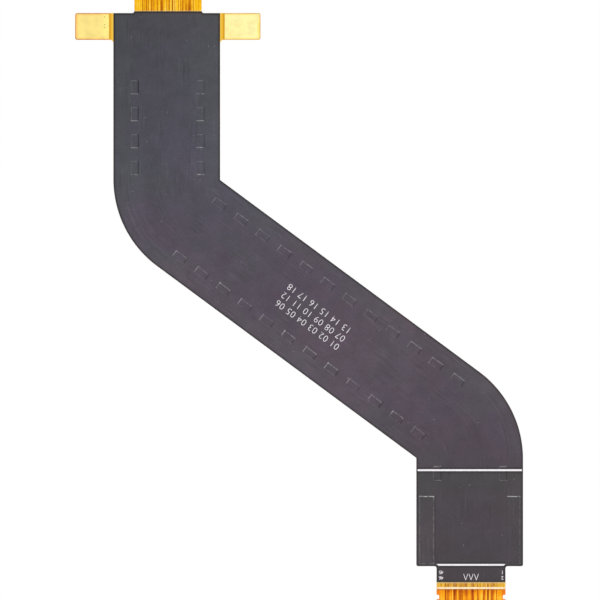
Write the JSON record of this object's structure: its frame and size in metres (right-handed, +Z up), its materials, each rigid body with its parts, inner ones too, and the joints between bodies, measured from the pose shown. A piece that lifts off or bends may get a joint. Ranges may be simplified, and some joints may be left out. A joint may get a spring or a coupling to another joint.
{
  "type": "flat flex cable",
  "caption": "Flat flex cable with a black shielded Z-shaped body, amber stiffened contact tails at both ends and two gold ground tabs.",
  "frame": {"origin": "middle of the outline in X and Y, on the rear face that the cable lies on", "axes": "+X to the right across the legs, +Y along the legs towards the panel tail with the tabs, +Z up from the rear face to the printed front face"},
  "size_m": [0.1008, 0.1432, 0.0004],
  "materials": {
    "shield_film": "satin black conductive shield film with a fine pressed texture",
    "cover_film": "clear amber polyimide cover film",
    "base_film": "amber polyimide carrier film",
    "copper": "etched rolled copper",
    "gold_plating": "soft gold over nickel",
    "stiffener": "thick amber polyimide plate",
    "white_ink": "matt white printed ink"
  },
  "bodies": {
    "root": {"rear_shield_film": "shield_film", "rear_coverlay": "cover_film", "signal_conductors": "copper", "supply_conductors": "copper", "left_rear_ground": "copper", "right_rear_ground": "copper", "base_film": "base_film", "ground_vias": "copper", "left_front_ground": "copper", "right_front_ground": "copper", "front_coverlay": "cover_film", "front_shield_film": "shield_film", "left_tab_plating": "gold_plating", "right_tab_plating": "gold_plating", "panel_contact_plating": "gold_plating", "set_contact_plating": "gold_plating", "panel_stiffener": "stiffener", "set_stiffener": "stiffener", "panel_insertion_line": "white_ink", "set_insertion_line": "white_ink", "fold_line": "white_ink", "tail_line": "white_ink"}
  },
  "joints": []
}
